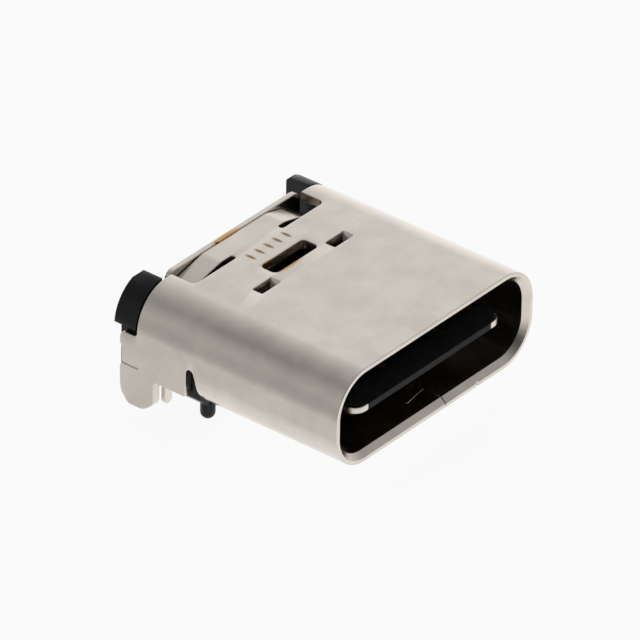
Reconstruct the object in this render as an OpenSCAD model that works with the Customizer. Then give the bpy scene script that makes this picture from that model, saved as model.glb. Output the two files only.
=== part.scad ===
// Top-mount USB type C socket: folded metal shell, plastic housing with a
// contact tongue, rear cover and two rows of contacts.
// Drawn in millimetres. x runs across the mouth, y runs back from the mouth
// and z is up from the board, which the socket stands on.

/* [Shell] */
// Outer width of the shell tube
shell_w = 8.94; // [8.90:0.01:9.00]
// Outer height of the shell tube
shell_h = 3.16; // [3.12:0.01:3.20]
// Thickness of the folded sheet
sheet_t = 0.30; // [0.26:0.01:0.30]
// Outer corner radius of the tube
shell_r = 1.30; // [1.20:0.01:1.40]
// Length of the closed tube, from the mouth to its lower rear edge
tube_len = 5.25; // [5.15:0.01:5.30]
// Distance from the mouth to the rear edge of the top plate
top_len = 7.43; // [7.41:0.01:7.44]
// Distance from the mouth to the rear edge of the two ears
ear_len = 7.40; // [7.35:0.01:7.44]
// Width of the lead-in chamfer inside the mouth
lead_w = 0.17; // [0.10:0.01:0.20]
// Depth of the lead-in chamfer inside the mouth
lead_d = 0.175; // [0.10:0.005:0.25]

/* [Openings in the top plate] */
// Width of the slot across the top plate
slot_w = 1.96; // [1.80:0.01:2.10]
// Length of that slot, front to back
slot_l = 0.60; // [0.50:0.01:0.65]
// Distance from the mouth to the middle of the slot
slot_y = 5.43; // [5.40:0.01:5.46]
// Corner radius of the slot
slot_r = 0.17; // [0.10:0.01:0.20]
// Width of each lanced pocket
pocket_w = 0.85; // [0.75:0.01:0.95]
// Length of each lanced pocket, front to back
pocket_l = 0.37; // [0.30:0.01:0.40]
// Distance from the centre line to the middle of a pocket
pocket_x = 1.645; // [1.60:0.005:1.70]
// Distance from the mouth to the middle of a pocket
pocket_y = 4.925; // [4.85:0.005:4.94]
// Length of the bent-down ramp at one end of a pocket
ramp_w = 0.33; // [0.28:0.01:0.38]
// Distance from the mouth to the front edge of the rear windows
window_y = 6.54; // [6.50:0.01:6.60]
// Distance from the centre line to the inner edge of an ear
ear_x = 2.93; // [2.90:0.01:3.00]
// Corner radius of the rear windows
window_r = 0.18; // [0.12:0.01:0.30]
// Distance from the centre line to the round end of the relief slit
relief_x = 1.03; // [1.00:0.01:1.20]
// Width of the relief slit in front of each sloped tab
relief_l = 0.19; // [0.15:0.01:0.22]

/* [Sloped tabs] */
// Distance from the centre line to the start of the bend
tab_x = 1.42; // [1.35:0.01:1.50]
// Length of a tab beyond its bend
tab_l = 1.42; // [1.38:0.01:1.46]
// Downward slope of the left tab
left_tab_angle = 13; // [13:1:15]
// Downward slope of the right tab, which is bent a little further
right_tab_angle = 18; // [13:1:19]
// Inside radius of the bend
tab_bend_r = 0.60; // [0.40:0.05:0.70]

/* [Side plates and legs] */
// Height of the top of the side slot, from the tube's centre
side_slot_z = -0.156; // [-0.20:0.002:-0.10]
// Distance from the mouth to the rear edge of the side slot
side_slot_y = 5.59; // [5.55:0.01:5.62]
// Height of the lower edge of the side plate, from the tube's centre
side_low_z = -1.13; // [-1.20:0.01:-1.00]
// Distance from the mouth to the front edge of the leg
leg_y = 6.78; // [6.70:0.01:6.90]
// Width of the leg, front to back
leg_w = 1.26; // [1.15:0.01:1.30]
// How far the leg reaches below the board's top face
leg_drop = 0.64; // [0.55:0.01:0.80]
// Height of the top of the leg's rear part, from the tube's centre
leg_top_z = 0.16; // [0.10:0.01:0.20]
// Height of the coined groove on the leg, from the tube's centre
coin_z = -0.92; // [-1.00:0.01:-0.85]
// Width of the coined groove
coin_w = 0.20; // [0.15:0.01:0.25]
// Distance from the mouth to the front end of the coined groove
coin_y = 7.33; // [7.25:0.01:7.40]
// Depth of the shallow notch in the leg's rear edge
leg_notch = 0.08; // [0.05:0.01:0.10]

/* [Seam] */
// Width of the seam where the folded sheet meets itself
seam_w = 0.03; // [0.02:0.005:0.05]
// Distance of the seam from the centre line
seam_x = 0.50; // [0.45:0.01:0.55]
// Distance from the mouth to the front of the dovetail
dovetail_y = 0.66; // [0.62:0.01:0.75]
// Length of the dovetail along the seam
dovetail_l = 1.60; // [1.40:0.05:1.80]
// Reach of the dovetail across the seam
dovetail_w = 1.00; // [0.90:0.01:1.10]
// How much wider the dovetail's head is than its neck, on each side
dovetail_flare = 0.18; // [0.10:0.01:0.22]

/* [Housing] */
// Gap between the housing and the shell around it
housing_gap = 0.02; // [0.01:0.005:0.04]
// Distance from the mouth to the rear face of the housing
housing_y = 8.24; // [8.15:0.01:8.30]
// Distance from the mouth to the wall that stops the plug
base_y = 6.20; // [6.15:0.01:6.25]
// Distance from the centre line to the inner face of the rear arms
arm_x = 3.28; // [3.27:0.01:3.35]
// Height of the lower edge of the rear arms, from the tube's centre
arm_low_z = 0.366; // [0.33:0.002:0.40]
// Bevel on the upper rear edge of the arms
arm_bevel = 0.10; // [0.05:0.01:0.12]
// Chamfer along the housing's lower side edges
skirt = 0.30; // [0.20:0.01:0.35]
// Distance from the centre line to each locating peg
peg_x = 3.60; // [3.55:0.01:3.65]
// Distance from the mouth to the locating pegs
peg_y = 5.45; // [5.43:0.01:5.50]
// Radius of the locating pegs
peg_r = 0.225; // [0.20:0.005:0.25]
// Height of the locating pegs below the housing
peg_h = 0.59; // [0.50:0.01:0.65]

/* [Rear cover] */
// Thickness of the rear cover
cover_t = 0.18; // [0.15:0.01:0.20]
// Distance from the mouth to the cover's front face
cover_y = 7.46; // [7.455:0.005:7.48]
// Width of the rear cover
cover_w = 5.96; // [5.90:0.01:6.10]
// Corner radius of the rear cover
cover_r = 0.30; // [0.20:0.01:0.35]
// Height of the gap below the cover, where the tails pass
cover_lift = 0.42; // [0.35:0.01:0.50]

/* [Tongue] */
// Width of the tongue
tongue_w = 6.69; // [6.60:0.01:6.75]
// Thickness of the tongue
tongue_t = 0.70; // [0.66:0.01:0.72]
// Distance from the mouth to the tongue's nose
nose_y = 0.20; // [0.15:0.01:0.40]
// Height of the flat on the nose
nose_t = 0.20; // [0.20:0.01:0.24]
// Length of the bevels behind the nose
nose_l = 0.62; // [0.50:0.01:0.70]
// Corner radius of the metal plate at the nose, in plan
nose_r = 0.42; // [0.30:0.01:0.50]
// Corner radius of the plastic at the nose, in plan
blade_r = 0.66; // [0.55:0.01:0.70]
// Width of the bevels along the tongue's sides
side_bevel = 0.20; // [0.15:0.01:0.25]
// Distance from the mouth to the thick root of the tongue
root_y = 4.45; // [4.40:0.01:4.60]
// Thickness of the root without its ground pads
root_t = 1.10; // [1.00:0.01:1.14]
// Thickness of the metal plate in the middle of the tongue
plate_t = 0.20; // [0.16:0.01:0.20]
// Thickness of the two ground pads on the root
pad_t = 0.12; // [0.10:0.01:0.12]

/* [Contacts] */
// Number of contacts in a row
contact_count = 12; // [12:12:12]
// Distance between contacts
pitch = 0.50; // [0.50:0.01:0.50]
// Width of a contact on the tongue
contact_w = 0.25; // [0.22:0.01:0.27]
// Thickness of the contacts
contact_t = 0.12; // [0.10:0.01:0.14]
// Distance from the mouth to the tips of the long contacts
long_tip_y = 0.56; // [0.52:0.01:0.60]
// Distance from the mouth to the tips of the short contacts
short_tip_y = 1.07; // [1.02:0.01:1.30]
// Distance from the mouth to the drop of the upper row
upper_drop_y = 7.20; // [7.15:0.01:7.25]
// Distance from the mouth to the end of the surface tails
tail_y = 8.55; // [8.40:0.01:8.70]
// Distance from the mouth to the drop of the lower row's front tails
lower_drop_y = 6.35; // [6.30:0.01:6.40]
// Distance between the two staggered rows of through-board tails
stagger = 0.38; // [0.36:0.01:0.40]
// Width of a through-board tail
pin_w = 0.20; // [0.18:0.01:0.24]
// How far the through-board tails reach below the board's top face
pin_drop = 0.62; // [0.50:0.01:0.64]

/* [Hidden] */
$fn = 96;
eps = 0.01;
board_z = -shell_h / 2;
inner_w = shell_w - 2 * sheet_t;
inner_h = shell_h - 2 * sheet_t;
inner_r = shell_r - sheet_t;
wall_x = inner_w / 2;
housing_x = wall_x - housing_gap;
tube_top = shell_h / 2;
plate_low = tube_top - sheet_t;
corner_z = tube_top - shell_r;
leg_low_z = board_z - leg_drop;
leg_rear_y = leg_y + leg_w;
leg_chamfer = 0.40;
leg_corner_r = 0.20;
corner_fillet = 0.10;
coin_d = 0.07;
leg_notch_l = 0.50;
tab_end_r = 0.30;
tab_room_z = 0.55;
tab_room = 0.15;
ramp_drop = 0.33;
ramp_crease = 0.10;
ramp_skin = 0.10;
pocket_r = 0.05;
back_gap = 0.03;
arm_gap = 0.05;
mid_leg_w = 0.33;
mid_leg_t = 0.15;
mid_leg_x = 3.855;
mid_leg_y = 6.70;
mid_leg_drop = 0.50;
mid_front_y = 0.50;
mid_show_x = 2.80;
root_w = 6.20;
root_end_y = 6.90;
pad_w = 5.60;
pad_len = 1.60;
pad_setback = 0.05;
contact_span = (contact_count - 1) * pitch;

// Puts a shape drawn about the tube's centre line onto the board.
module to_board() {
    translate([0, -peg_y, -board_z]) children();
}

// Extrudes a front-view shape from y0 back to y1.
module back(y0, y1) {
    translate([0, y1, 0]) rotate([90, 0, 0]) linear_extrude(y1 - y0) children();
}

// Extrudes a side-view shape, drawn as (y, z), from x0 to x1.
module across(x0, x1) {
    translate([x0, 0, 0]) rotate([90, 0, 90]) linear_extrude(x1 - x0) children();
}

// Extrudes a plan-view shape from z0 up to z1.
module rise(z0, z1) {
    translate([0, 0, z0]) linear_extrude(z1 - z0) children();
}

// Draws a child and its mirror image across the centre plane.
module both_sides() {
    children();
    mirror([1, 0, 0]) children();
}

// Rectangle with rounded corners, centred.
module round_rect(w, h, r) {
    square([w - 2 * r, h], center = true);
    square([w, h - 2 * r], center = true);
    for (sx = [-1, 1], sz = [-1, 1])
        translate([sx * (w / 2 - r), sz * (h / 2 - r)]) circle(r);
}

// Corner fillet of radius r that fills the quadrant beyond +u, +v.
module fillet(r) {
    difference() {
        translate([-eps, -eps]) square(r + eps);
        translate([r, r]) circle(r);
    }
}

// Widening cut that makes the lead-in chamfer of the mouth.
module mouth_lead() {
    w = inner_w / 2;
    h = inner_h / 2;
    cx = w - inner_r;
    cz = h - inner_r;
    grow = lead_w * (lead_d + eps) / lead_d;
    for (sx = [-1, 1], sz = [-1, 1])
        translate([sx * cx, -eps, sz * cz]) rotate([-90, 0, 0])
            cylinder(h = lead_d + eps, r1 = inner_r + grow, r2 = inner_r);
    across(-cx, cx)
        polygon([[-eps, -h - grow], [-eps, h + grow], [lead_d, h], [lead_d, -h]]);
    rise(-cz, cz)
        polygon([[-w - grow, -eps], [w + grow, -eps], [w, lead_d], [-w, lead_d]]);
}

// Seam with one dovetail, as the gap between the two edges of the sheet.
module seam_gap() {
    neck = seam_x - seam_w / 2;
    head = neck - dovetail_w;
    y0 = dovetail_y;
    y1 = dovetail_y + dovetail_l;
    f = dovetail_flare;
    rise(board_z - eps, board_z + sheet_t + eps) {
        translate([neck, -eps]) square([seam_w, y0 + f + seam_w + eps]);
        translate([neck, y1 - f - seam_w]) square([seam_w, tube_len - y1 + f + seam_w + eps]);
        translate([head, y0]) square([seam_w, dovetail_l]);
        polygon([[head, y0], [head, y0 + seam_w],
                 [neck + seam_w, y0 + f + seam_w], [neck + seam_w, y0 + f]]);
        polygon([[head, y1 - seam_w], [head, y1],
                 [neck + seam_w, y1 - f], [neck + seam_w, y1 - f - seam_w]]);
    }
}

// Closed part of the shell, in front of the lower rear edge.
module tube() {
    difference() {
        back(0, tube_len) round_rect(shell_w, shell_h, shell_r);
        back(-eps, tube_len + eps) round_rect(inner_w, inner_h, inner_r);
        mouth_lead();
        seam_gap();
    }
}

// Arch of sheet over the top and down both sides, behind the tube.
module arch() {
    back(tube_len - eps, top_len) difference() {
        union() {
            intersection() {
                round_rect(shell_w, shell_h, shell_r);
                translate([-shell_w, 0]) square([2 * shell_w, shell_h]);
            }
            translate([-shell_w / 2, side_slot_z]) square([shell_w, corner_z - side_slot_z]);
        }
        intersection() {
            round_rect(inner_w, inner_h, inner_r);
            translate([-shell_w, 0]) square([2 * shell_w, shell_h]);
        }
        translate([-inner_w / 2, -shell_h]) square([inner_w, shell_h + corner_z]);
    }
}

// Outline of a side plate with its leg, drawn as (y, z).
module side_outline() {
    c = leg_chamfer;
    r = leg_corner_r;
    difference() {
        union() {
            translate([side_slot_y, side_low_z])
                square([leg_rear_y - side_slot_y, leg_top_z - side_low_z]);
            translate([side_slot_y, side_slot_z])
                square([ear_len - side_slot_y, corner_z - side_slot_z]);
            polygon([[leg_y, side_low_z + eps], [leg_y, leg_low_z + c],
                     [leg_y + 0.35 * c, leg_low_z + 0.35 * c],
                     [leg_y + c, leg_low_z], [leg_rear_y - 0.9 * c, leg_low_z],
                     [leg_rear_y - 0.12 * c, leg_low_z + 0.95 * c],
                     [leg_rear_y, leg_low_z + 1.7 * c], [leg_rear_y, side_low_z + eps]]);
            translate([leg_y, side_low_z]) mirror([1, 0]) mirror([0, 1]) fillet(corner_fillet);
            translate([ear_len, leg_top_z]) fillet(corner_fillet);
            translate([side_slot_y, side_slot_z]) mirror([1, 0]) mirror([0, 1])
                fillet(corner_fillet);
        }
        translate([leg_rear_y - r, leg_top_z - r]) difference() {
            square(r + eps);
            circle(r);
        }
        translate([leg_rear_y - leg_notch, coin_z + leg_notch])
            square([leg_notch + eps, leg_notch_l]);
    }
}

// Openings of the top plate, in plan.
module rear_window() {
    tab_front = window_y + relief_l;
    rise(plate_low - 1, tube_top + eps) {
        translate([relief_x + relief_l / 2, window_y])
            square([ear_x - relief_x - relief_l / 2 - window_r, relief_l]);
        translate([relief_x + relief_l / 2, window_y + relief_l / 2]) circle(relief_l / 2);
        translate([tab_x, window_y + relief_l / 2])
            square([ear_x - tab_x - window_r, top_len - window_y]);
        translate([tab_x, window_y + window_r])
            square([ear_x - tab_x, top_len - window_y]);
        translate([ear_x - window_r, window_y + window_r]) circle(window_r);
    }
}

// Tab of the top plate that is bent down and tucks under its ear.
module sloped_tab(slope) {
    y0 = window_y + relief_l;
    w = top_len - y0;
    r_out = tab_bend_r + sheet_t;
    r = tab_end_r;
    translate([tab_x, 0, tube_top - r_out]) {
        translate([0, top_len, 0]) rotate([90, 0, 0]) rotate([0, 0, 90 - slope])
            rotate_extrude(angle = slope) translate([tab_bend_r, 0]) square([sheet_t, w]);
        rotate([0, slope, 0]) rise(tab_bend_r, r_out) {
            translate([-eps / 2, y0]) square([tab_l - r + eps, w]);
            translate([0, y0 + r]) square([tab_l, w - 2 * r]);
            for (y = [y0 + r, top_len - r]) translate([tab_l - r, y]) circle(r);
        }
    }
}

// Pierced and lanced pocket, with its ramp on the +x end.
module pocket_cut() {
    x0 = -pocket_w / 2;
    x1 = pocket_w / 2 - ramp_w;
    r = pocket_r;
    rise(plate_low - ramp_drop, tube_top + eps) {
        translate([x0 + r, -pocket_l / 2]) square([x1 - x0 - r, pocket_l]);
        translate([x0, -pocket_l / 2 + r]) square([x1 - x0, pocket_l - 2 * r]);
        for (s = [-1, 1]) translate([x0 + r, s * (pocket_l / 2 - r)]) circle(r);
    }
    slope = atan(ramp_drop / ramp_w);
    translate([pocket_w / 2, 0, tube_top]) rotate([0, -slope, 0])
        across(-2 * ramp_w, ramp_w)
            polygon([[-pocket_l / 2, ramp_crease], [0, 0], [pocket_l / 2, ramp_crease],
                     [pocket_l / 2, sheet_t], [-pocket_l / 2, sheet_t]]);
}

// Sheet pushed down below the plate under a pocket's ramp.
module pocket_ramp() {
    x1 = pocket_w / 2 - ramp_w;
    translate([0, pocket_l / 2, 0]) rotate([90, 0, 0]) linear_extrude(pocket_l)
        polygon([[x1, plate_low + eps], [x1, tube_top - ramp_drop - ramp_skin],
                 [x1 + ramp_skin, tube_top - ramp_drop - ramp_skin],
                 [pocket_w / 2, plate_low + eps]]);
}

module outer_shell() {
    to_board() color("silver") difference() {
        union() {
            tube();
            difference() {
                arch();
                both_sides() rear_window();
                both_sides() back(ear_len, top_len + eps)
                    translate([ear_x, -shell_h]) square([shell_w, 2 * shell_h]);
            }
            both_sides() across(wall_x, wall_x + sheet_t) side_outline();
            sloped_tab(right_tab_angle);
            mirror([1, 0, 0]) sloped_tab(left_tab_angle);
            for (s = [-1, 1]) translate([s * pocket_x, pocket_y, 0]) pocket_ramp();
        }
        translate([0, slot_y, 0]) rise(plate_low - eps, tube_top + eps)
            round_rect(slot_w, slot_l, slot_r);
        for (s = [-1, 1]) translate([s * pocket_x, pocket_y, 0]) pocket_cut();
        both_sides() back(coin_y, leg_rear_y + eps)
            polygon([[shell_w / 2 + eps, coin_z - coin_w / 2],
                     [shell_w / 2 - coin_d, coin_z + coin_w / 4],
                     [shell_w / 2 + eps, coin_z + coin_w / 2]]);
    }
}

module rear_cover() {
    low = board_z + cover_lift;
    to_board() color("gainsboro") back(cover_y, cover_y + cover_t)
        translate([0, (low + tube_top) / 2]) round_rect(cover_w, tube_top - low, cover_r);
}

// One rear arm of the housing, outside the cover.
module housing_arm() {
    y0 = ear_len + arm_gap;
    difference() {
        union() {
            back(y0, housing_y) intersection() {
                round_rect(shell_w, shell_h, shell_r);
                translate([arm_x, corner_z]) square(shell_r);
            }
            translate([arm_x, y0, board_z])
                cube([housing_x - arm_x, housing_y - y0, arm_low_z - board_z + eps]);
        }
        translate([housing_x, y0 - eps, board_z - eps])
            cube([1, housing_y, arm_low_z - board_z + eps]);
        across(arm_x - eps, shell_w) polygon([
            [housing_y + eps, tube_top - arm_bevel - eps], [housing_y + eps, tube_top + eps],
            [housing_y - arm_bevel - eps, tube_top + eps]]);
    }
}

// Round peg with a domed end that locates the socket in the board.
module peg() {
    straight = peg_h - peg_r;
    translate([peg_x, peg_y, board_z - straight]) cylinder(h = straight + eps, r = peg_r);
    translate([peg_x, peg_y, board_z - straight]) intersection() {
        sphere(peg_r);
        translate([0, 0, -peg_r]) cube(2 * peg_r, center = true);
    }
}

module housing_block() {
    front = tube_len + back_gap;
    rear = cover_y;
    difference() {
        union() {
            // floor and lower corners, behind the closed tube
            back(front, rear) difference() {
                translate([-housing_x, board_z]) square([2 * housing_x, corner_z - board_z]);
                for (s = [-1, 1]) translate([s * housing_x, board_z]) rotate(45)
                    square(skirt * sqrt(2), center = true);
            }
            // upper part, under the arch of the shell
            back(front, rear) intersection() {
                round_rect(2 * housing_x, inner_h - 2 * housing_gap, inner_r - housing_gap);
                translate([-housing_x, 0]) square([2 * housing_x, shell_h]);
            }
        }
        // room for the plug
        back(front - eps, base_y) round_rect(inner_w, inner_h, inner_r);
        back(front - eps, base_y)
            translate([-wall_x - 1, corner_z]) square([2 * wall_x + 2, shell_h]);
    }
}

module housing() {
    to_board() color([0.12, 0.12, 0.13]) difference() {
        union() {
            housing_block();
            both_sides() difference() {
                housing_arm();
                translate([housing_x, 0, board_z]) rotate([0, 45, 0])
                    translate([-skirt / sqrt(2), 0, -skirt / sqrt(2)])
                        cube([skirt * sqrt(2), 3 * housing_y, skirt * sqrt(2)]);
            }
            both_sides() peg();
        }
        // clearance under the sloped tabs
        both_sides() rise(tab_room_z, tube_top) translate([tab_x - tab_room, window_y - tab_room])
            square([arm_x - tab_x + tab_room, ear_len + 2 * tab_room - window_y]);
        root_block();
        mid_plate_shape();
        for (i = [0:contact_count - 1]) {
            upper_contact_shape(i);
            lower_contact_shape(i);
        }
    }
}

// Plan of the tongue from y0 to y1, with rounded nose corners.
module tongue_plan(y0, y1, r) {
    w = tongue_w / 2;
    translate([-w, y0 + r]) square([2 * w, y1 - y0 - r]);
    translate([-w + r, y0]) square([2 * (w - r), r + eps]);
    for (s = [-1, 1]) translate([s * (w - r), y0 + r]) circle(r);
}

module root_block() {
    translate([-root_w / 2, root_y, -root_t / 2])
        cube([root_w, root_end_y - root_y, root_t]);
}

module tongue_blade() {
    t = tongue_t / 2;
    n = nose_t / 2;
    w = tongue_w / 2;
    intersection() {
        rise(-t, t) tongue_plan(nose_y, root_y + eps, blade_r);
        across(-w, w) polygon([[nose_y, -n], [nose_y, n], [nose_y + nose_l, t],
                               [root_y + eps, t], [root_y + eps, -t], [nose_y + nose_l, -t]]);
        back(nose_y, root_y + eps)
            polygon([[-w, -n], [-w, n], [-w + side_bevel, t], [w - side_bevel, t],
                     [w, n], [w, -n], [w - side_bevel, -t], [-w + side_bevel, -t]]);
    }
}

// Plate down the middle of the tongue, with two legs through the board.
module mid_plate_shape() {
    t = plate_t / 2;
    w = tongue_w / 2;
    difference() {
        rise(-t, t) {
            tongue_plan(nose_y, base_y, nose_r);
            translate([-root_w / 2, base_y - eps]) square([root_w, mid_leg_y - base_y + 2 * eps]);
            translate([-mid_leg_x - mid_leg_w / 2, mid_leg_y])
                square([2 * mid_leg_x + mid_leg_w, mid_leg_t]);
        }
        translate([-mid_show_x, nose_y - eps, -1]) cube([2 * mid_show_x, mid_front_y - nose_y, 2]);
    }
    both_sides() translate([mid_leg_x, mid_leg_y + mid_leg_t, 0]) rotate([90, 0, 0])
        linear_extrude(mid_leg_t) {
            translate([-mid_leg_w / 2, board_z - mid_leg_drop + mid_leg_w / 2])
                square([mid_leg_w, mid_leg_drop - mid_leg_w / 2 - board_z]);
            translate([0, board_z - mid_leg_drop + mid_leg_w / 2]) circle(mid_leg_w / 2);
        }
}

module pad_plan() {
    translate([-pad_w / 2, root_y + pad_setback]) square([pad_w, pad_len]);
}

function contact_x(i) = -contact_span / 2 + i * pitch;
function is_long(i) = i == 0 || i == 3 || i == 8 || i == 11;
function tip_y(i) = is_long(i) ? long_tip_y : short_tip_y;
function pin_y(i) = lower_drop_y + (i % 2) * stagger;

// Height of the tongue's upper face at a distance y from the mouth.
function tongue_face(y) =
    min(tongue_t, nose_t + (tongue_t - nose_t) * (y - nose_y) / nose_l) / 2;

// Contact in the upper face, drawn from its rounded tip to its tail.
module upper_contact_shape(i) {
    top = tongue_t / 2;
    tip = tip_y(i);
    drop = tongue_face(tip);
    flat = max(tip, nose_y + nose_l);
    r = contact_w / 2;
    translate([contact_x(i), 0, 0]) intersection() {
        across(-r, r) polygon([
            [tip, drop - contact_t], [tip, drop], [flat + eps, top],
            [upper_drop_y + contact_t, top], [upper_drop_y + contact_t, board_z + contact_t],
            [tail_y, board_z + contact_t], [tail_y, board_z], [upper_drop_y, board_z],
            [upper_drop_y, top - contact_t], [flat + eps, top - contact_t]]);
        rise(-shell_h, shell_h) {
            translate([0, tip + r]) circle(r);
            translate([-r, tip + r]) square([contact_w, tail_y - tip]);
        }
    }
}

// Contact in the lower face, with a tail through the board.
module lower_contact_shape(i) {
    low = -tongue_t / 2;
    tip = tip_y(i);
    rise_at_tip = -tongue_face(tip);
    flat = max(tip, nose_y + nose_l);
    r = contact_w / 2;
    drop = pin_y(i);
    pin_low = board_z - pin_drop;
    translate([contact_x(i), 0, 0]) {
        intersection() {
            across(-r, r) polygon([
                [tip, rise_at_tip], [tip, rise_at_tip + contact_t],
                [flat + eps, low + contact_t], [drop + contact_t, low + contact_t],
                [drop + contact_t, board_z + eps], [drop, board_z + eps],
                [drop, low], [flat + eps, low]]);
            rise(-shell_h, shell_h) {
                translate([0, tip + r]) circle(r);
                translate([-r, tip + r]) square([contact_w, drop + contact_t]);
            }
        }
        translate([-pin_w / 2, drop, pin_low])
            cube([pin_w, contact_t, board_z + 2 * eps - pin_low]);
    }
}

module tongue() {
    to_board() color([0.16, 0.16, 0.17]) difference() {
        union() {
            tongue_blade();
            root_block();
        }
        mid_plate_shape();
        for (i = [0:contact_count - 1]) {
            upper_contact_shape(i);
            lower_contact_shape(i);
        }
    }
}

module mid_plate() {
    to_board() color("lightgray") mid_plate_shape();
}

module upper_ground_pad() {
    to_board() color("lightgray") rise(root_t / 2, root_t / 2 + pad_t) pad_plan();
}

module lower_ground_pad() {
    to_board() color("lightgray") rise(-root_t / 2 - pad_t, -root_t / 2) pad_plan();
}

module upper_contact(i) {
    to_board() color("gold") upper_contact_shape(i);
}

module lower_contact(i) {
    to_board() color("gold") lower_contact_shape(i);
}

outer_shell();
rear_cover();
housing();
tongue();
mid_plate();
upper_ground_pad();
lower_ground_pad();
for (i = [1:contact_count]) {
    upper_contact(i - 1);
    lower_contact(i - 1);
}
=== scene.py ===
import math
import bmesh
import bpy
from mathutils import Matrix, Vector


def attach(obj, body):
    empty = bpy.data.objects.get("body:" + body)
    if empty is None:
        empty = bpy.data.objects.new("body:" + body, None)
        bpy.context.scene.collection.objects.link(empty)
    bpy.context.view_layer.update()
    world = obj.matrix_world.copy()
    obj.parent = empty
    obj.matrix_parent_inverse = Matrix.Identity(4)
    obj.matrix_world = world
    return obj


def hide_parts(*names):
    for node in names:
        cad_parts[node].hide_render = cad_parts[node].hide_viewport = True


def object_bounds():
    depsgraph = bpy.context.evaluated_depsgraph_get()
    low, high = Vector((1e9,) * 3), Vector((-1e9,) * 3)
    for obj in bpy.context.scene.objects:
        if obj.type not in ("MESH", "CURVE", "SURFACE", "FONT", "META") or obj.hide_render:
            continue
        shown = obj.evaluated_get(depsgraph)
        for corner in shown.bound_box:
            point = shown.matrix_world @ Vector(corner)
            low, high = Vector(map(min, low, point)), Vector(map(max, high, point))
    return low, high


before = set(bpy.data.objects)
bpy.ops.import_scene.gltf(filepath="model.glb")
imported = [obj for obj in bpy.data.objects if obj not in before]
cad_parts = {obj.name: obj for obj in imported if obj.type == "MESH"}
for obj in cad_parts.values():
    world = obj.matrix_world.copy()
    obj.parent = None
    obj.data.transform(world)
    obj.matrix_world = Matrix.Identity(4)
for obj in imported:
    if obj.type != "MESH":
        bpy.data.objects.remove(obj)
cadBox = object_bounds()
mm = 0.001
tubeToBoard = Vector((0.0, -5.45, 1.58))  # pieces are drawn about the tube's centre line, in millimetres
print("frame loaded:", len(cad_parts), "nodes")


def hexToLinear(hexText):
    out = []
    for i in (0, 2, 4):
        c = int(hexText[i:i + 2], 16) / 255
        out.append(c / 12.92 if c <= 0.04045 else ((c + 0.055) / 1.055) ** 2.4)
    return (out[0], out[1], out[2], 1.0)


def addNode(tree, kind, settings=None, links=None):
    # settings with a node property's name set it, all others set an input
    node = tree.nodes.new(kind)
    for key, value in (settings or {}).items():
        if isinstance(key, str) and hasattr(node, key) and key not in node.inputs:
            setattr(node, key, value)
        else:
            node.inputs[key].default_value = value
    for key, socket in (links or {}).items():
        tree.links.new(socket, node.inputs[key])
    return node


def startMaterial(name, shaderSettings):
    mat = bpy.data.materials.new(name)
    mat.use_nodes = True
    tree = mat.node_tree
    tree.nodes.clear()
    shader = addNode(tree, "ShaderNodeBsdfPrincipled", shaderSettings)
    addNode(tree, "ShaderNodeOutputMaterial", links={"Surface": shader.outputs["BSDF"]})
    return mat, tree, shader


def setRamp(node, stops):
    ramp = node.color_ramp
    while len(ramp.elements) < len(stops):
        ramp.elements.new(0.5)
    for element, (place, colour) in zip(ramp.elements, stops):
        element.position = place
        element.color = colour
    return node


def arcPoints(cx, cy, radius, start, end, steps=8):
    out = []
    for i in range(steps + 1):
        a = math.radians(start + (end - start) * i / steps)
        out.append((cx + radius * math.cos(a), cy + radius * math.sin(a)))
    return out


def flatPlate(name, outline, holes, thickness, edge, rings=2):
    # a stamped blank: outline with holes, edges broken by a small round
    curve = bpy.data.curves.new(name, "CURVE")
    curve.dimensions = "2D"
    curve.fill_mode = "BOTH"
    curve.extrude = thickness / 2 - edge
    curve.bevel_depth = edge
    curve.bevel_resolution = rings
    curve.offset = -edge
    for points in [outline] + holes:
        spline = curve.splines.new("POLY")
        spline.points.add(len(points) - 1)
        for point, (x, y) in zip(spline.points, points):
            point.co = (x, y, 0.0, 1.0)
        spline.use_cyclic_u = True
    blank = bpy.data.objects.new(name, curve)
    bpy.context.scene.collection.objects.link(blank)
    bpy.context.view_layer.update()
    solid = bpy.data.meshes.new_from_object(blank.evaluated_get(bpy.context.evaluated_depsgraph_get()))
    bpy.data.objects.remove(blank)
    bm = bmesh.new()
    bm.from_mesh(solid)
    bmesh.ops.remove_doubles(bm, verts=bm.verts, dist=1e-4)
    bmesh.ops.dissolve_degenerate(bm, edges=bm.edges, dist=1e-5)
    bpy.data.meshes.remove(solid)
    return bm


def finishPiece(name, bm, sharpAngle, nodes, material):
    # out of tube millimetres into board metres, then shaded and tied to the frame
    for v in bm.verts:
        v.co = (v.co + tubeToBoard) * mm
    bmesh.ops.recalc_face_normals(bm, faces=bm.faces)
    mesh = bpy.data.meshes.new(name)
    bm.to_mesh(mesh)
    bm.free()
    for p in mesh.polygons:
        p.use_smooth = True
    mesh.set_sharp_from_angle(angle=math.radians(sharpAngle))
    piece = bpy.data.objects.new(name, mesh)
    bpy.context.scene.collection.objects.link(piece)
    soft = piece.modifiers.new("faceWeights", "WEIGHTED_NORMAL")
    soft.keep_sharp = True
    soft.weight = 90
    mesh.materials.append(material)
    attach(piece, "root")
    if nodes:
        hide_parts(*nodes)
    return piece


def mixColour(tree, blend, first, second, factor):
    return addNode(tree, "ShaderNodeMixRGB", {"blend_type": blend},
                   {"Fac": factor, "Color1": first, "Color2": second}).outputs["Color"]


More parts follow.
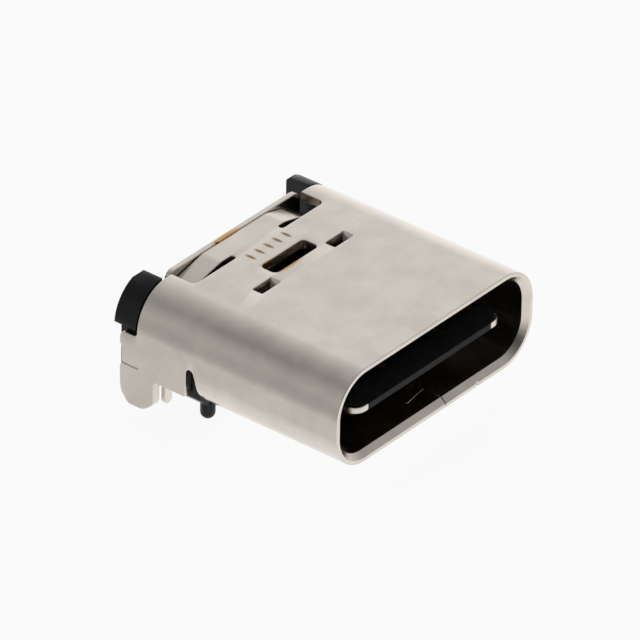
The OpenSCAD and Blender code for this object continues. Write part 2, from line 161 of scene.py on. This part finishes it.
def nearPoint(tree, place, centre, reach):
    # 1 at a place given in tube millimetres, falling to 0 at the reach on each axis
    middle = (Vector(centre) + tubeToBoard) * mm
    away = addNode(tree, "ShaderNodeVectorMath", {"operation": "SUBTRACT", 1: middle}, {0: place})
    scaled = addNode(tree, "ShaderNodeVectorMath", {"operation": "DIVIDE", 1: Vector(reach) * mm},
                     {0: away.outputs["Vector"]})
    far = addNode(tree, "ShaderNodeVectorMath", {"operation": "LENGTH"}, {0: scaled.outputs["Vector"]})
    fall = addNode(tree, "ShaderNodeMapRange", {"interpolation_type": "SMOOTHSTEP", "From Min": 1.0,
                   "From Max": 0.35, "To Min": 0.0, "To Max": 1.0}, {"Value": far.outputs["Value"]})
    return fall.outputs["Result"]


plating = {
    "dark": "CFC7BF", "light": "DDD5CC", "smooth": 0.20, "rough": 0.29,
    "mottle": 1.1, "grain": 0.035, "grainStretch": 12.0, "pit": 0.012,
    "burn": "7A4A1E", "haze": "C9A06A", "mark": "8E7256",
    "burnPlace": (-0.80, 7.47, 1.58), "burnReach": (0.11, 0.09, 0.3),
    "markCount": 5, "markStart": -0.76, "markPitch": 0.40, "markReach": (0.09, 0.27, 0.05),
}
# places that welding heat has browned, each with how far the colour reaches
hazePatches = (
    ((-0.35, 7.50, 1.58), (0.85, 0.16, 0.3)),
    ((-0.75, 5.72, 1.45), (0.45, 0.10, 0.25)),
    ((-0.35, 5.10, 1.56), (0.7, 0.10, 0.2)),
)


def makeNickel(name, marked):
    # bright nickel over rolled strip: a warm grey mirror that is softened along the strip's grain,
    # clouded in patches and browned where it was welded
    mat, tree, shader = startMaterial(name, {"Metallic": 1.0})
    place = addNode(tree, "ShaderNodeTexCoord").outputs["Object"]
    mottle = addNode(tree, "ShaderNodeTexNoise", {
        "Scale": 1 / (plating["mottle"] * mm), "Detail": 5.0, "Roughness": 0.62}, {"Vector": place})
    strip = addNode(tree, "ShaderNodeMapping", {"Scale": (1.0, 1 / plating["grainStretch"], 1.0)},
                    {"Vector": place})
    grain = addNode(tree, "ShaderNodeTexNoise", {"Scale": 1 / (plating["grain"] * mm), "Detail": 3.0},
                    {"Vector": strip.outputs["Vector"]})
    pits = addNode(tree, "ShaderNodeTexNoise", {"Scale": 1 / (plating["pit"] * mm), "Detail": 2.0},
                   {"Vector": place})
    tint = setRamp(addNode(tree, "ShaderNodeValToRGB", links={"Fac": mottle.outputs["Fac"]}), [
        (0.32, hexToLinear(plating["dark"])), (0.66, hexToLinear(plating["light"]))]).outputs["Color"]
    if marked:
        burn = addNode(tree, "ShaderNodeRGB")
        burn.outputs[0].default_value = hexToLinear(plating["burn"])
        haze = addNode(tree, "ShaderNodeRGB")
        haze.outputs[0].default_value = hexToLinear(plating["haze"])
        mark = addNode(tree, "ShaderNodeRGB")
        mark.outputs[0].default_value = hexToLinear(plating["mark"])
        for centre, reach in hazePatches:
            tint = mixColour(tree, "MIX", tint, haze.outputs[0], nearPoint(tree, place, centre, reach))
        spot = nearPoint(tree, place, plating["burnPlace"], plating["burnReach"])
        tint = mixColour(tree, "MIX", tint, burn.outputs[0], spot)
        for i in range(plating["markCount"]):
            centre = (plating["markStart"] + plating["markPitch"] * i, 6.24, 1.58)
            bar = nearPoint(tree, place, centre, plating["markReach"])
            tint = mixColour(tree, "MIX", tint, mark.outputs[0], bar)
    tree.links.new(tint, shader.inputs["Base Color"])
    polish = addNode(tree, "ShaderNodeMapRange", {"From Min": 0.3, "From Max": 0.7,
                     "To Min": plating["smooth"], "To Max": plating["rough"]},
                     {"Value": mottle.outputs["Fac"]})
    tree.links.new(polish.outputs["Result"], shader.inputs["Roughness"])
    fine = addNode(tree, "ShaderNodeBump", {"Strength": 0.10, "Distance": 0.002 * mm},
                   {"Height": pits.outputs["Fac"]})
    rolled = addNode(tree, "ShaderNodeBump", {"Strength": 0.25, "Distance": 0.002 * mm},
                     {"Height": grain.outputs["Fac"], "Normal": fine.outputs["Normal"]})
    tree.links.new(rolled.outputs["Normal"], shader.inputs["Normal"])
    return mat


polymer = {"flow": 0.4, "skin": 0.03, "smooth": 0.34, "rough": 0.46}


def makeBlackResin(name, low, high, sheen):
    # glass-filled polymer moulded in a spark-eroded tool: near black with a dry sheen and fine speckle
    mat, tree, shader = startMaterial(name, {"IOR": 1.5, "Specular IOR Level": sheen})
    place = addNode(tree, "ShaderNodeTexCoord").outputs["Object"]
    flow = addNode(tree, "ShaderNodeTexNoise", {"Scale": 1 / (polymer["flow"] * mm), "Detail": 4.0},
                   {"Vector": place})
    skin = addNode(tree, "ShaderNodeTexNoise", {"Scale": 1 / (polymer["skin"] * mm), "Detail": 2.0},
                   {"Vector": place})
    tint = setRamp(addNode(tree, "ShaderNodeValToRGB", links={"Fac": flow.outputs["Fac"]}), [
        (0.3, hexToLinear(low)), (0.7, hexToLinear(high))])
    tree.links.new(tint.outputs["Color"], shader.inputs["Base Color"])
    dry = addNode(tree, "ShaderNodeMapRange", {"From Min": 0.3, "From Max": 0.7,
                  "To Min": polymer["smooth"], "To Max": polymer["rough"]}, {"Value": flow.outputs["Fac"]})
    tree.links.new(dry.outputs["Result"], shader.inputs["Roughness"])
    bump = addNode(tree, "ShaderNodeBump", {"Strength": 0.35, "Distance": 0.004 * mm},
                   {"Height": skin.outputs["Fac"]})
    tree.links.new(bump.outputs["Normal"], shader.inputs["Normal"])
    return mat


def makeGold():
    # gold flash over rolled copper alloy: amber, with paler rubbed patches
    mat, tree, shader = startMaterial("goldPlatedContact", {"Metallic": 1.0, "Roughness": 0.24})
    place = addNode(tree, "ShaderNodeTexCoord")
    wear = addNode(tree, "ShaderNodeTexNoise", {"Scale": 1 / (0.25 * mm), "Detail": 3.0},
                   {"Vector": place.outputs["Object"]})
    tint = setRamp(addNode(tree, "ShaderNodeValToRGB", links={"Fac": wear.outputs["Fac"]}), [
        (0.3, hexToLinear("D9A24A")), (0.7, hexToLinear("EFC476"))])
    tree.links.new(tint.outputs["Color"], shader.inputs["Base Color"])
    return mat


nickel = makeNickel("nickelPlatedStamping", True)
steel = makeNickel("tumbledSteelStrip", False)
resin = makeBlackResin("mouldedBlackPolymer", "0C0C0E", "131316", 0.30)
# the tongue's copy of the black resin is made darker and duller as painted shade, standing in for the shade
# inside the shell's mouth
tongueResinPaintedShade = makeBlackResin("mouldedTonguePolymerPaintedShade", "08080A", "0E0E10", 0.12)
gold = makeGold()
print("materials made")

shellSize = {
    "width": 8.94, "height": 3.16, "sheet": 0.30, "corner": 1.30,
    "tubeRear": 5.25, "topRear": 7.43, "earRear": 7.40,
    "leadWidth": 0.17, "leadDepth": 0.175, "edge": 0.025,
    "slotWidth": 1.96, "slotLength": 0.60, "slotY": 5.43, "slotCorner": 0.17,
    "pocketWidth": 0.85, "pocketLength": 0.37, "pocketX": 1.645, "pocketY": 4.925,
    "windowFront": 6.54, "windowCorner": 0.18, "earInner": 2.93, "reliefX": 1.03, "reliefLength": 0.19,
    "tabEnd": 2.80, "tabStretch": 1.16, "seamGap": 0.03,
    "grooveFront": 7.33, "grooveDepth": 0.07,
}
# each tab: where its bends start and how far each one turns; the right one was bent down twice
tabBends = {-1: [(1.42, 13.0)], 1: [(1.25, 14.0), (1.98, 17.0)]}
tabRadius = 0.90
tabCorner = 0.12
grooveLines = (-0.82, -0.87, -1.02)
halfTop = shellSize["width"] / 2 - shellSize["corner"]
cornerZ = shellSize["height"] / 2 - shellSize["corner"]
bendLength = shellSize["corner"] * math.pi / 2
sideStart = halfTop + bendLength
lowerStart = sideStart + 2 * cornerZ
bottomStart = lowerStart + bendLength


def alongSide(z):
    return sideStart + cornerZ - z


def halfBlank(side):
    # outline of half the unfolded sheet, from the seam at the mouth to the middle of the rear edge:
    # first number is the distance round the shell from the top's centre line, second is y
    gap = shellSize["seamGap"] / 2
    rear = shellSize["tubeRear"]
    seam = [(0.50, 0.0), (0.50, 0.84), (-0.36, 0.70), (-0.43, 0.74), (-0.43, 2.06), (-0.36, 2.10),
            (0.50, 1.96), (0.50, rear)]
    points = []
    if side > 0:
        # small nick that the cut-off left in the mouth's lower edge
        nick = ((2.02, 0.0), (1.99, 0.035), (1.93, 0.035), (1.90, 0.0))
        points += [(bottomStart + halfTop - x, y) for x, y in nick]
    points += [(bottomStart + halfTop - side * x - gap, y) for x, y in seam]
    points += [(alongSide(-0.46), rear), (alongSide(-0.36), 5.27), (alongSide(-0.30), 5.30)]
    points += [(alongSide(-0.296 + 0.14 * math.sin(a)), 5.44 - 0.14 * math.cos(a))
               for a in [math.radians(d) for d in (20, 45, 70, 90, 110, 135, 160)]]
    points += [(alongSide(-0.32), 5.58), (alongSide(-1.09), 5.60), (alongSide(-1.13), 5.64)]
    points += [(alongSide(z), y) for y, z in (
        (6.66, -1.13), (6.72, -1.15), (6.765, -1.20), (6.78, -1.28), (6.78, -1.84), (6.83, -1.94),
        (6.92, -2.03), (7.04, -2.12), (7.16, -2.19), (7.28, -2.22), (7.64, -2.22), (7.72, -2.20),
        (7.79, -2.14), (7.95, -1.93), (8.00, -1.80), (8.03, -1.60), (8.04, -1.06), (8.02, -0.99),
        (7.97, -0.90), (7.96, -0.86), (7.96, -0.38), (7.98, -0.32), (8.02, -0.28), (8.04, -0.23),
        (8.04, -0.08))]
    points += [(alongSide(-0.06 + 0.22 * math.sin(a)), 7.82 + 0.22 * math.cos(a))
               for a in [math.radians(d) for d in (20, 40, 60, 80, 90)]]
    points += [(alongSide(0.16), 7.54), (alongSide(0.17), 7.48), (alongSide(0.205), 7.42),
               (alongSide(0.26), shellSize["earRear"])]
    ear = shellSize["earInner"]
    corner = shellSize["windowCorner"]
    slit = shellSize["reliefLength"] / 2
    front = shellSize["windowFront"]
    topRear = shellSize["topRear"]
    tabEnd = shellSize["tabEnd"]
    points += [(ear, shellSize["earRear"])]
    points += arcPoints(ear - corner, front + corner, corner, 0, -90)
    points += arcPoints(shellSize["reliefX"] + slit, front + slit, slit, -90, -270)
    points += arcPoints(tabEnd - tabCorner, front + 2 * slit + tabCorner, tabCorner, -90, 0, 4)
    points += arcPoints(tabEnd - tabCorner, topRear - tabCorner, tabCorner, 0, 90, 4)
    return points


def foldSheet(s, y, depth):
    # where a point of the flat sheet goes once it is folded; depth is measured in from the outer face
    side = 1.0 if s >= 0 else -1.0
    a = abs(s)
    r = shellSize["corner"] - depth
    bends = tabBends[int(side)]
    tabFront = shellSize["windowFront"] + 0.75 * shellSize["reliefLength"]
    if y > tabFront and bends[0][0] < a < shellSize["tabEnd"] + 0.05:
        # walk along the tab's outer face, turning at each bend
        x, z, angle, here = bends[0][0], shellSize["height"] / 2, 0.0, bends[0][0]
        reach = bends[0][0] + (a - bends[0][0]) * shellSize["tabStretch"]
        for start, turn in bends:
            if reach <= start:
                break
            x += (start - here) * math.cos(angle)
            z -= (start - here) * math.sin(angle)
            bent = min(reach - start, tabRadius * math.radians(turn))
            after = angle + bent / tabRadius
            x += tabRadius * (math.sin(after) - math.sin(angle))
            z -= tabRadius * (math.cos(angle) - math.cos(after))
            angle = after
            here = start + bent
        x += max(0.0, reach - here) * math.cos(angle)
        z -= max(0.0, reach - here) * math.sin(angle)
        x -= depth * math.sin(angle)
        z -= depth * math.cos(angle)
    elif a <= halfTop:
        x = a
        z = shellSize["height"] / 2 - depth
    elif a <= sideStart:
        turn = (a - halfTop) / shellSize["corner"]
        x = halfTop + r * math.sin(turn)
        z = cornerZ + r * math.cos(turn)
    elif a <= lowerStart or y > 5.44:
        x = shellSize["width"] / 2 - depth
        z = cornerZ - (a - sideStart)
    elif a <= bottomStart:
        turn = (a - lowerStart) / shellSize["corner"]
        x = halfTop + r * math.cos(turn)
        z = -cornerZ - r * math.sin(turn)
    else:
        x = halfTop - (a - bottomStart)
        z = -shellSize["height"] / 2 + depth
    return Vector((side * x, y, z))


def roundedSlot(cx, cy, w, h, r):
    points = []
    for sx, sy, start in ((1, 1, 0), (-1, 1, 90), (-1, -1, 180), (1, -1, 270)):
        points += arcPoints(cx + sx * (w / 2 - r), cy + sy * (h / 2 - r), r, start, start + 90, 6)
    return points


def addPocketRamp(bm, cx, cy):
    # metal that the lancing punch bent down at both ends of a pocket, creased along its middle
    top = shellSize["height"] / 2
    right = cx + shellSize["pocketWidth"] / 2
    left = cx - shellSize["pocketWidth"] / 2
    half = shellSize["pocketLength"] / 2
    skin = 0.06
    ramp = (
        [(right, cy - half, top), (right, cy, top - 0.02), (right, cy + half, top)],
        [(right - 0.27, cy - half, top - 0.24), (right - 0.21, cy, top - 0.33),
         (right - 0.05, cy + half, top - 0.08)])
    apron = (
        [(left, cy - half, top - 0.03), (left, cy, top - 0.05), (left, cy + half, top - 0.03)],
        [(left + 0.36, cy - half, top - 0.34), (left + 0.42, cy, top - 0.38),
         (left + 0.30, cy + half, top - 0.34)])
    for upper, lower in (ramp, apron):
        near = [bm.verts.new(p) for p in upper]
        far = [bm.verts.new(p) for p in lower]
        nearLow = [bm.verts.new((x, y, z - skin)) for x, y, z in upper]
        farLow = [bm.verts.new((x, y, z - skin)) for x, y, z in lower]
        for i in (0, 1):
            bm.faces.new((near[i], far[i], far[i + 1], near[i + 1]))
            bm.faces.new((nearLow[i + 1], farLow[i + 1], farLow[i], nearLow[i]))
            bm.faces.new((far[i], farLow[i], farLow[i + 1], far[i + 1]))
            bm.faces.new((near[i + 1], nearLow[i + 1], nearLow[i], near[i]))
        bm.faces.new((near[0], nearLow[0], farLow[0], far[0]))
        bm.faces.new((near[2], far[2], farLow[2], nearLow[2]))


def buildShell():
    right = halfBlank(1)
    left = [(-s, y) for s, y in reversed(halfBlank(-1))]
    outline = right + left
    holes = [roundedSlot(0, shellSize["slotY"], shellSize["slotWidth"], shellSize["slotLength"],
                         shellSize["slotCorner"])]
    for sx in (-1, 1):
        holes.append(roundedSlot(sx * shellSize["pocketX"], shellSize["pocketY"], shellSize["pocketWidth"],
                                 shellSize["pocketLength"], 0.05))
    holes = [list(reversed(h)) for h in holes]
    bm = flatPlate("shellBlank", outline, holes, shellSize["sheet"], shellSize["edge"])
    cuts = []
    for sx in (-1, 1):
        cuts += [sx * (halfTop + bendLength * i / 28) for i in range(29)]
        cuts += [sx * (lowerStart + bendLength * i / 28) for i in range(29)]
        for start, turn in tabBends[sx]:
            first = tabBends[sx][0][0]
            bend = tabRadius * math.radians(turn)
            for i in range(6):
                cuts.append(sx * (first + (start + bend * i / 5 - first) / shellSize["tabStretch"]))
        cuts += [sx * alongSide(z) for z in grooveLines]
    for s in cuts:
        bmesh.ops.bisect_plane(bm, geom=bm.verts[:] + bm.edges[:] + bm.faces[:], dist=1e-5,
                               plane_co=(s, 0, 0), plane_no=(1, 0, 0))
    for y in (shellSize["leadDepth"], shellSize["grooveFront"], shellSize["grooveFront"] + 0.05):
        bmesh.ops.bisect_plane(bm, geom=bm.verts[:] + bm.edges[:] + bm.faces[:], dist=1e-5,
                               plane_co=(0, y, 0), plane_no=(0, 1, 0))
    rim = shellSize["sheet"] - shellSize["leadWidth"]
    for v in bm.verts:
        s, y = v.co.x, v.co.y
        depth = shellSize["sheet"] / 2 - v.co.z
        if y < shellSize["leadDepth"] + 1e-4:
            depth = min(depth, rim + shellSize["leadWidth"] * max(0.0, y) / shellSize["leadDepth"])
        coined = y > shellSize["grooveFront"] + 0.04 and abs(abs(s) - alongSide(grooveLines[1])) < 1e-3
        if coined and depth < shellSize["sheet"] / 2:
            depth = depth + shellSize["grooveDepth"]
        v.co = foldSheet(s, y, depth)
    for sx in (-1, 1):
        addPocketRamp(bm, sx * shellSize["pocketX"], shellSize["pocketY"])
    return finishPiece("foldedShell", bm, 38, ["outer_shell"], nickel)


shell = buildShell()
print("shell folded:", len(shell.data.polygons), "faces")


def easeEdges(node, edge, material, rings=2):
    # the solid's own form with its edges broken, as moulding and stamping leave them
    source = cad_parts[node]
    bm = bmesh.new()
    bm.from_mesh(source.data)
    for v in bm.verts:
        v.co = v.co / mm
    bmesh.ops.remove_doubles(bm, verts=bm.verts, dist=1e-4)
    bmesh.ops.dissolve_limit(bm, angle_limit=math.radians(1.0), verts=bm.verts, edges=bm.edges)
    for v in bm.verts:
        v.co = v.co - tubeToBoard
    name = node + "Finished"
    piece = finishPiece(name, bm, 38, [node], material)
    bevel = piece.modifiers.new("brokenEdges", "BEVEL")
    bevel.width = edge * mm
    bevel.segments = rings
    bevel.limit_method = "ANGLE"
    bevel.angle_limit = math.radians(40)
    piece.modifiers.move(1, 0)
    return piece


easeEdges("housing", 0.03, resin)
# the tongue takes the darker, duller resin copy: painted shade for the inside of the mouth
easeEdges("tongue", 0.02, tongueResinPaintedShade)
easeEdges("mid_plate", 0.015, steel)
easeEdges("rear_cover", 0.025, nickel)
for name in ("upper_ground_pad", "lower_ground_pad"):
    easeEdges(name, 0.015, steel)
for row in ("upper", "lower"):
    for i in range(1, 13):
        easeEdges(f"{row}_contact_{i}", 0.05, gold, 2)
print("inner pieces eased")

cameraSetup = {"azimuth": -51.2582, "elevation": 32.4804, "roll": 0.9077, "distance": 344.5899,
               "shiftRight": -3.3055, "shiftUp": 1.3857, "lens": 12062.35 / 640 * 36}


def buildStage():
    mesh = bpy.data.meshes.new("studioFloor")
    r = 0.4
    floorZ = cadBox[0][2] - 0.00002
    corners = [(x, y, floorZ) for x, y in ((-r, -r), (r, -r), (r, r), (-r, r))]
    mesh.from_pydata(corners, [], [(0, 1, 2, 3)])
    floor = bpy.data.objects.new("studioFloor", mesh)
    bpy.context.scene.collection.objects.link(floor)
    mat = bpy.data.materials.new("paleStudioFloor")
    mat.use_nodes = True
    tree = mat.node_tree
    tree.nodes.clear()
    matt = addNode(tree, "ShaderNodeBsdfDiffuse", {"Color": hexToLinear("F4F4F4")})
    glow = addNode(tree, "ShaderNodeEmission", {"Color": (1, 1, 1, 1), "Strength": 1.0})
    clear = addNode(tree, "ShaderNodeBsdfTransparent")
    path = addNode(tree, "ShaderNodeLightPath")
    seen = addNode(tree, "ShaderNodeMixShader", {"Fac": 0.93}, {1: matt.outputs[0], 2: glow.outputs[0]})
    own = addNode(tree, "ShaderNodeMixShader", links={
        "Fac": path.outputs["Is Camera Ray"], 1: matt.outputs[0], 2: seen.outputs[0]})
    mirrored = addNode(tree, "ShaderNodeMixShader", links={
        "Fac": path.outputs["Is Glossy Ray"], 1: own.outputs[0], 2: clear.outputs[0]})
    addNode(tree, "ShaderNodeOutputMaterial", links={"Surface": mirrored.outputs[0]})
    mesh.materials.append(mat)


# tone of the tent by the angle round the part's long axis: 0 is up, 90 is right, -90 is left
tentBehind = [(-180, 1.0), (-149, 0.92), (-129, 0.76), (-109, 0.50), (-89, 0.475), (-69, 0.54), (-49, 0.455),
              (-29, 0.32), (-9, 0.42), (11, 0.555), (31, 0.72), (51, 0.875),
              (70, 1.06), (92, 1.16), (180, 1.0)]
tentBefore = [(-180, 1.0), (-150, 1.05), (-118, 0.90), (-90, 0.45), (-62, 0.14), (-35, 0.10), (-5, 0.16),
              (25, 0.36), (52, 0.45), (80, 0.68), (108, 0.96), (132, 1.06), (180, 1.0)]


def buildWorld():
    # a light tent round the part: pale below and to the right, a dark opening where the photographer stands
    # and a darker wall up and to the left
    world = bpy.data.worlds.new("lightTent")
    bpy.context.scene.world = world
    world.use_nodes = True
    tree = world.node_tree
    tree.nodes.clear()
    place = addNode(tree, "ShaderNodeTexCoord")
    axes = addNode(tree, "ShaderNodeSeparateXYZ", links={"Vector": place.outputs["Generated"]})
    around = addNode(tree, "ShaderNodeMath", {"operation": "ARCTAN2"},
                     {0: axes.outputs["X"], 1: axes.outputs["Z"]})
    angle = addNode(tree, "ShaderNodeMapRange", {"From Min": -math.pi, "From Max": math.pi},
                    {"Value": around.outputs["Value"]})
    tones = []
    for stops in (tentBehind, tentBefore):
        ramp = setRamp(addNode(tree, "ShaderNodeValToRGB", links={"Fac": angle.outputs["Result"]}),
                       [((a + 180) / 360, (t, t, t, 1.0)) for a, t in stops])
        tones.append(ramp.outputs["Color"])
    behind = addNode(tree, "ShaderNodeMapRange", {"interpolation_type": "SMOOTHSTEP", "From Min": -0.2,
                     "From Max": 0.2}, {"Value": axes.outputs["Y"]})
    tent = mixColour(tree, "MIX", tones[1], tones[0], behind.outputs["Result"])
    path = addNode(tree, "ShaderNodeLightPath")
    seen = addNode(tree, "ShaderNodeMixRGB", {"Color2": (1, 1, 1, 1)},
                   {"Fac": path.outputs["Is Camera Ray"], "Color1": tent})
    back = addNode(tree, "ShaderNodeBackground", {"Strength": 1.0}, {"Color": seen.outputs["Color"]})
    addNode(tree, "ShaderNodeOutputWorld", links={"Surface": back.outputs[0]})


def buildCamera():
    az = math.radians(cameraSetup["azimuth"])
    el = math.radians(cameraSetup["elevation"])
    roll = math.radians(cameraSetup["roll"])
    back = Vector((math.sin(az) * math.cos(el), -math.cos(az) * math.cos(el), math.sin(el)))
    right = Vector((math.cos(az), math.sin(az), 0))
    up = back.cross(right)
    r2 = math.cos(roll) * right + math.sin(roll) * up
    u2 = -math.sin(roll) * right + math.cos(roll) * up
    place = r2 * cameraSetup["shiftRight"] + u2 * cameraSetup["shiftUp"] + back * cameraSetup["distance"]
    data = bpy.data.cameras.new("productCamera")
    data.sensor_width = 36
    data.lens = cameraSetup["lens"]
    data.clip_start = 0.01
    data.clip_end = 10
    camera = bpy.data.objects.new("productCamera", data)
    turn = Matrix((r2, u2, back)).transposed().to_4x4()
    camera.matrix_world = Matrix.Translation((place + tubeToBoard) * mm) @ turn
    bpy.context.scene.collection.objects.link(camera)
    bpy.context.scene.camera = camera


buildStage()
buildWorld()
buildCamera()
bpy.context.scene.view_settings.view_transform = "Standard"
print("stage, light and camera set")
